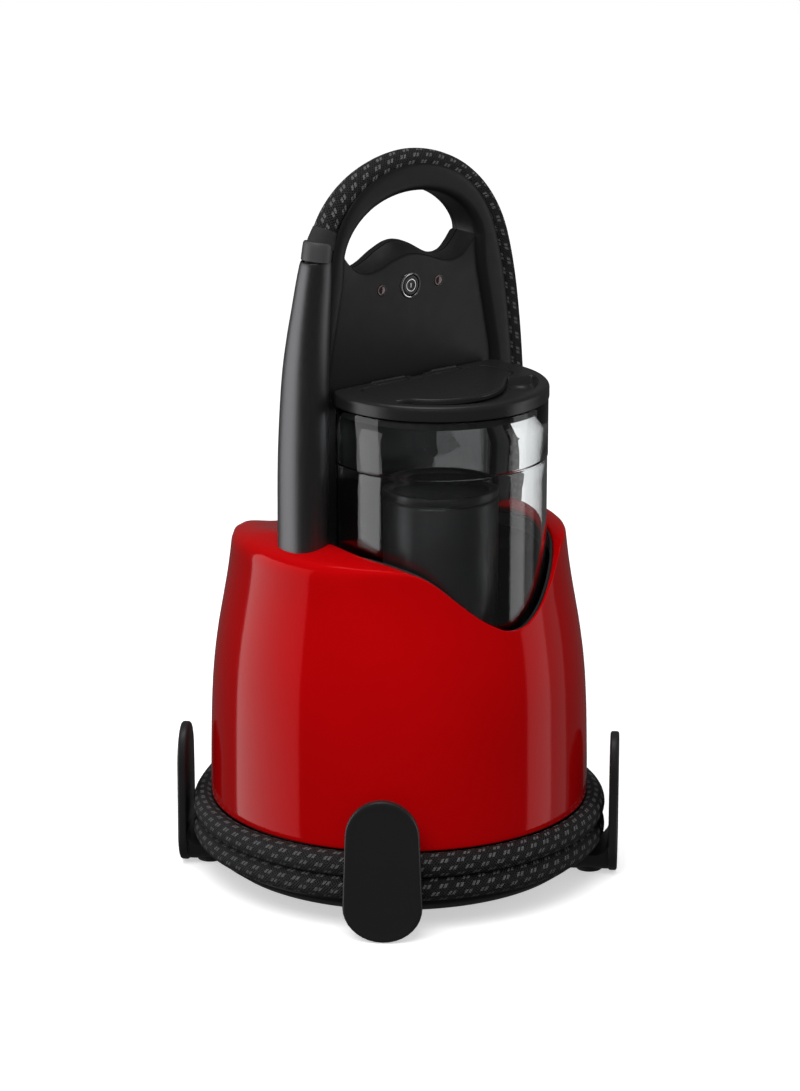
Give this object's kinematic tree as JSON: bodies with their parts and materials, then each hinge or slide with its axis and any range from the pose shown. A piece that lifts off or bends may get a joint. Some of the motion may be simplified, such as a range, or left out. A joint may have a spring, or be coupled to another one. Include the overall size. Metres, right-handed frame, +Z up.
{
  "type": "steam generator base",
  "caption": "Round steam generator base with a lift-off water tank, an arched carrying handle and a steam hose wound between hooks.",
  "frame": {"origin": "on the floor under the middle of the round body", "axes": "+Z up, -Y towards the water tank and the control panel, -X towards the metal riser, +X the side where the hose comes down"},
  "size_m": [0.2364, 0.2396, 0.4148],
  "materials": {
    "red_gloss": "high gloss red moulding",
    "black_satin": "fine satin texture",
    "black_gloss": "polished black",
    "hook_black": "satin moulding",
    "clear_plastic": "clear moulded plastic, light grey tint",
    "dark_metal": "dark brushed metallic",
    "dark_grey": "satin",
    "hose_braid": "woven sleeve with light flecks",
    "rubber_black": "soft matt",
    "steel": "plain zinc plated",
    "chrome_ring": "polished",
    "brass": "machined",
    "aluminium": "cast",
    "lens_red": "tinted lens, unlit",
    "board_green": "laminate",
    "grey_liner": "satin",
    "filter_grey": "satin, ribbed",
    "tube_white": "silicone"
  },
  "bodies": {
    "unit": {"base_plate": "black_satin", "base_screws": "steel", "body_shell": "red_gloss", "boiler": "aluminium", "boiler_bracket": "steel", "boiler_heater": "steel", "button_ring": "chrome_ring", "button_spring": "steel", "button_switch": "black_satin", "control_board": "board_green", "control_panel": "black_gloss", "dock_seal": "rubber_black", "dock_valve": "grey_liner", "feed_tube": "tube_white", "frame_posts": "grey_liner", "handle_front": "black_satin", "handle_rear": "black_satin", "handle_screws": "steel", "hook_front_left": "hook_black", "hook_front_right": "hook_black", "hook_rear_left": "hook_black", "hook_rear_right": "hook_black", "hook_screws": "steel", "hose_end_fitting": "dark_grey", "hose_run": "hose_braid", "hose_winding": "hose_braid", "inlet_pins": "brass", "mains_inlet": "black_satin", "power_board": "board_green", "pump": "grey_liner", "pump_mounts": "rubber_black", "riser_collar": "dark_grey", "riser_sleeve": "dark_metal", "rubber_feet": "rubber_black", "safety_valve": "brass", "solenoid_valve": "brass", "steam_lens": "lens_red", "steam_tube": "tube_white", "suction_tube": "tube_white", "thermostat": "steel", "water_lens": "lens_red", "well_liner": "grey_liner"},
    "tank": {"tank_shell": "clear_plastic", "tank_lid": "black_gloss", "lid_seal": "rubber_black", "hinge_pin": "steel", "outlet_spring": "steel"},
    "fill_flap": {"fill_flap": "black_gloss"},
    "filter": {"filter_cartridge": "filter_grey", "filter_cap": "filter_grey"},
    "outlet_valve": {"outlet_plunger": "brass"},
    "power_button": {"power_button": "black_gloss"}
  },
  "joints": [
    {"name": "tank_lift", "type": "slide", "parent": "unit", "child": "tank", "axis": [0, -0.0523, 0.9986], "range_m": [0, 0.15]},
    {"name": "flap_hinge", "type": "hinge", "parent": "tank", "child": "fill_flap", "pos_m": [0, -0.0156, 0.288], "axis": [-1, 0, 0], "range_deg": [0, 80]},
    {"name": "filter_pull", "type": "slide", "parent": "tank", "child": "filter", "axis": [0, 0, 1], "range_m": [0, 0.03]},
    {"name": "outlet_open", "type": "slide", "parent": "tank", "child": "outlet_valve", "axis": [0, 0, 1], "range_m": [0, 0.003], "stiffness_N_per_m": 60, "deforming": ["outlet_spring"]},
    {"name": "button_press", "type": "slide", "parent": "unit", "child": "power_button", "axis": [0, 1, 0], "range_m": [0, 0.0012], "stiffness_N_per_m": 400}
  ]
}
